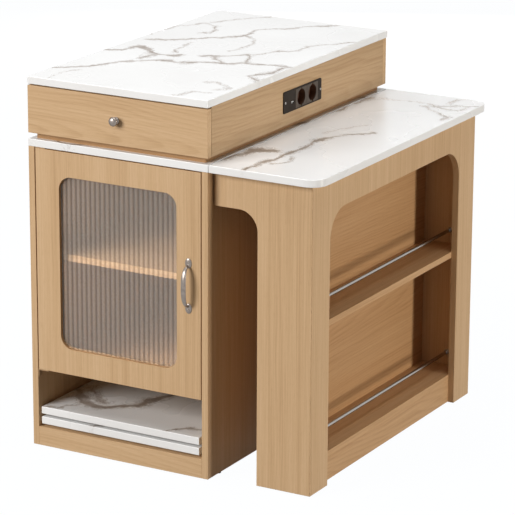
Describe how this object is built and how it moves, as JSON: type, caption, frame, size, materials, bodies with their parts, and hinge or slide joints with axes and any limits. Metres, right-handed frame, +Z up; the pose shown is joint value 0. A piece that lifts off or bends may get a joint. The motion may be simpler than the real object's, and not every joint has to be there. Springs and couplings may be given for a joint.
{
  "type": "extendable island cabinet with pull-out table",
  "caption": "Wooden island cabinet with a glazed door, a drawer box with power sockets and stone tops, and a pull-out table on extension rails with side shelves and stored leaves.",
  "frame": {"origin": "centre of the closed object's bounding box, on the floor", "axes": "+X to the right, the way the table pulls out; -Y towards the door and the drawer front; +Z up"},
  "size_m": [0.762, 0.896, 0.897],
  "materials": {
    "oak_veneer": "satin oak veneer on board",
    "marble_slab": "polished white stone with taupe veins",
    "reeded_glass": "upright reeds",
    "pewter": "antique pewter, soft polish",
    "zinc_steel": "bright zinc",
    "rod_steel": "polished",
    "brass": "plain",
    "rail_aluminium": "anodised",
    "strip_plastic": "dark brown, soft gloss",
    "usb_plastic": "pale",
    "black_plastic": "matt",
    "clear_strip": "matt, wood coloured",
    "rubber_pad": "matt"
  },
  "bodies": {
    "cabinet": {"cabinet_side_left": "oak_veneer", "cabinet_side_right": "oak_veneer", "cabinet_floor": "oak_veneer", "cabinet_kickboard": "oak_veneer", "cabinet_divider": "oak_veneer", "cabinet_back": "oak_veneer", "stretchers": "oak_veneer", "cabinet_shelf": "oak_veneer", "shelf_pins": "zinc_steel", "cabinet_glides": "black_plastic", "worktop": "marble_slab", "door_pivot_plates": "zinc_steel", "door_catch": "black_plastic", "box_plinth": "oak_veneer", "box_bottom": "oak_veneer", "box_side_left": "oak_veneer", "box_side_right": "oak_veneer", "box_back": "oak_veneer", "box_top_slab": "marble_slab", "cable_fittings": "strip_plastic", "power_strip_plate": "strip_plastic", "power_strip_sockets": "strip_plastic", "power_strip_earth_clips": "brass", "power_strip_usb_module": "usb_plastic", "power_strip_housing": "strip_plastic", "power_strip_screws": "zinc_steel", "drawer_slides_outer": "zinc_steel", "rail_fixed": "rail_aluminium"},
    "door": {"door_frame": "oak_veneer", "door_glass": "reeded_glass", "door_glass_retainer": "clear_strip", "door_pivot_bushes": "brass", "door_handle": "pewter", "door_handle_screws": "pewter", "door_strike_plate": "zinc_steel"},
    "drawer": {"drawer_front": "oak_veneer", "drawer_walls": "oak_veneer", "drawer_bottom": "oak_veneer", "drawer_knob": "pewter", "drawer_knob_screw": "zinc_steel", "drawer_slides_inner": "zinc_steel"},
    "drawer_slide_stage": {"drawer_slides_middle": "zinc_steel"},
    "table": {"table_top": "marble_slab", "table_front_panel": "oak_veneer", "table_back_panel": "oak_veneer", "table_side_panel": "oak_veneer", "table_inner_panel": "oak_veneer", "table_shelves": "oak_veneer", "table_kickboard": "oak_veneer", "guard_rods": "rod_steel", "rail_last": "rail_aluminium", "castor_forks": "zinc_steel"},
    "rail_stage_1": {"rail_middle_1": "rail_aluminium"},
    "rail_stage_2": {"rail_middle_2": "rail_aluminium"},
    "castor_axle_inner": {"castor_wheels_inner": "black_plastic"},
    "castor_axle_outer": {"castor_wheels_outer": "black_plastic"},
    "lower_leaf": {"leaf_lower": "marble_slab", "leaf_lower_pads": "rubber_pad"},
    "upper_leaf": {"leaf_upper": "marble_slab", "leaf_upper_pads": "rubber_pad"}
  },
  "joints": [
    {"name": "door_swing", "type": "hinge", "parent": "cabinet", "child": "door", "pos_m": [-0.349, -0.414, 0.46125], "axis": [0, 0, -1], "range_deg": [0, 110]},
    {"name": "drawer_pull", "type": "slide", "parent": "cabinet", "child": "drawer", "axis": [0, -1, 0], "range_m": [0, 0.285]},
    {"name": "drawer_slide_stage_pull", "type": "slide", "parent": "cabinet", "child": "drawer_slide_stage", "axis": [0, -1, 0], "range_m": [0, 0.1425]},
    {"name": "table_pull", "type": "slide", "parent": "cabinet", "child": "table", "axis": [1, 0, 0], "range_m": [0, 0.864]},
    {"name": "rail_stage_1_pull", "type": "slide", "parent": "cabinet", "child": "rail_stage_1", "axis": [1, 0, 0], "range_m": [0, 0.288]},
    {"name": "rail_stage_2_pull", "type": "slide", "parent": "cabinet", "child": "rail_stage_2", "axis": [1, 0, 0], "range_m": [0, 0.576]},
    {"name": "castor_inner_spin", "type": "hinge", "parent": "table", "child": "castor_axle_inner", "pos_m": [0.255, 0.0145, 0.016], "axis": [0, 1, 0], "continuous": true},
    {"name": "castor_outer_spin", "type": "hinge", "parent": "table", "child": "castor_axle_outer", "pos_m": [0.3, 0.0145, 0.016], "axis": [0, 1, 0], "continuous": true},
    {"name": "lower_leaf_pull", "type": "slide", "parent": "cabinet", "child": "lower_leaf", "axis": [0, -1, 0], "range_m": [0, 0.84]},
    {"name": "upper_leaf_pull", "type": "slide", "parent": "cabinet", "child": "upper_leaf", "axis": [0, -1, 0], "range_m": [0, 0.84]}
  ],
  "couplings": [
    {"joint": "drawer_slide_stage_pull", "follows": "drawer_pull", "ratio": 0.5},
    {"joint": "rail_stage_1_pull", "follows": "table_pull", "ratio": 0.33333},
    {"joint": "rail_stage_2_pull", "follows": "table_pull", "ratio": 0.66667},
    {"joint": "castor_inner_spin", "follows": "table_pull", "rad_per_m": 62.5},
    {"joint": "castor_outer_spin", "follows": "table_pull", "rad_per_m": 62.5}
  ]
}
